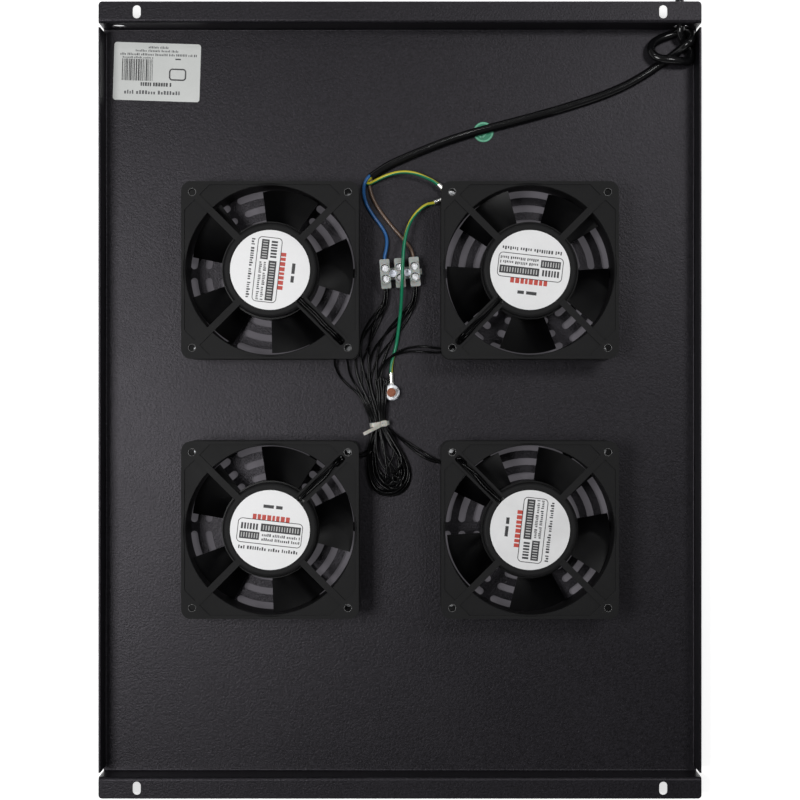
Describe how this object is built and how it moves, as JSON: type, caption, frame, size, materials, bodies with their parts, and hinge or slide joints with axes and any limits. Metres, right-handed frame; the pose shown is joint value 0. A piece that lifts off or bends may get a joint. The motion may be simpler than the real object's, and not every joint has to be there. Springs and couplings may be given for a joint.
{
  "type": "rack fan tray",
  "caption": "Shallow folded steel rack tray with mains axial fans over ring vents, a terminal strip, earth stud, wiring and a knotted power cord.",
  "frame": {"origin": "middle of the tray at the height of the surface that its feet, the fan screws' heads, stand on (the free cord, coil and plug are left out)", "axes": "+Z out of the open side of the pan, away from the surface it lies on; +Y along the tray towards the cord's hole; +X across it"},
  "size_m": [0.41, 0.6475, 0.0414],
  "materials": {
    "tray_coat": "fine textured black powder coat",
    "fan_casting": "satin black paint",
    "fan_blades": "moulded black",
    "bare_steel": "zinc plated",
    "motor_steel": "oiled laminations",
    "bearing_bronze": "sintered bronze",
    "silver_label": "printed film",
    "white_label": "blank film",
    "green_label": "blank film",
    "strip_plastic": "translucent moulding",
    "brass": "plain",
    "copper": "copper flashed",
    "cord_sheath": "flexible PVC",
    "blue_pvc": "flexible PVC",
    "brown_pvc": "flexible PVC",
    "earth_pvc": "green and yellow flexible PVC",
    "lead_pvc": "flexible PVC",
    "tie_nylon": "natural nylon",
    "plug_rubber": "moulded"
  },
  "bodies": {
    "tray": {"tray_panel": "tray_coat", "fan_1_frame": "fan_casting", "fan_1_bearings": "bearing_bronze", "fan_1_stator": "motor_steel", "fan_1_screws": "bare_steel", "fan_2_frame": "fan_casting", "fan_2_bearings": "bearing_bronze", "fan_2_stator": "motor_steel", "fan_2_screws": "bare_steel", "fan_3_frame": "fan_casting", "fan_3_bearings": "bearing_bronze", "fan_3_stator": "motor_steel", "fan_3_screws": "bare_steel", "fan_4_frame": "fan_casting", "fan_4_bearings": "bearing_bronze", "fan_4_stator": "motor_steel", "fan_4_screws": "bare_steel", "fan_labels": "silver_label", "terminal_body": "strip_plastic", "terminal_inserts": "brass", "terminal_clamp_screws": "bare_steel", "terminal_mount_screws": "bare_steel", "earth_stud": "copper", "stud_ring_terminal": "bare_steel", "earth_washer": "bare_steel", "earth_nut": "bare_steel", "fan_ring_terminals": "bare_steel", "fan_earth_nut": "bare_steel", "blue_wire": "blue_pvc", "brown_wire": "brown_pvc", "earth_wire_in": "earth_pvc", "earth_wire_link": "earth_pvc", "neutral_leads": "lead_pvc", "live_leads": "lead_pvc", "fan_1_leads": "lead_pvc", "fan_2_leads": "lead_pvc", "fan_3_leads": "lead_pvc", "fan_4_leads": "lead_pvc", "lead_hank": "lead_pvc", "cable_tie": "tie_nylon", "power_cord": "cord_sheath", "power_cord_coil": "cord_sheath", "plug_body": "plug_rubber", "plug_pins": "bare_steel", "plug_earth_contacts": "bare_steel", "rating_label": "white_label", "inspection_sticker": "green_label"},
    "impeller_1": {"fan_1_impeller": "fan_blades", "fan_1_rotor_ring": "motor_steel", "fan_1_shaft": "bare_steel"},
    "impeller_2": {"fan_2_impeller": "fan_blades", "fan_2_rotor_ring": "motor_steel", "fan_2_shaft": "bare_steel"},
    "impeller_3": {"fan_3_impeller": "fan_blades", "fan_3_rotor_ring": "motor_steel", "fan_3_shaft": "bare_steel"},
    "impeller_4": {"fan_4_impeller": "fan_blades", "fan_4_rotor_ring": "motor_steel", "fan_4_shaft": "bare_steel"}
  },
  "joints": [
    {"name": "fan_1_spin", "type": "hinge", "parent": "tray", "child": "impeller_1", "pos_m": [-0.0875, 0.0875, 0.0034], "axis": [0, 0, 1], "continuous": true},
    {"name": "fan_2_spin", "type": "hinge", "parent": "tray", "child": "impeller_2", "pos_m": [0.0875, 0.0875, 0.0034], "axis": [0, 0, 1], "continuous": true},
    {"name": "fan_3_spin", "type": "hinge", "parent": "tray", "child": "impeller_3", "pos_m": [-0.0875, -0.0875, 0.0034], "axis": [0, 0, 1], "continuous": true},
    {"name": "fan_4_spin", "type": "hinge", "parent": "tray", "child": "impeller_4", "pos_m": [0.0875, -0.0875, 0.0034], "axis": [0, 0, 1], "continuous": true}
  ]
}
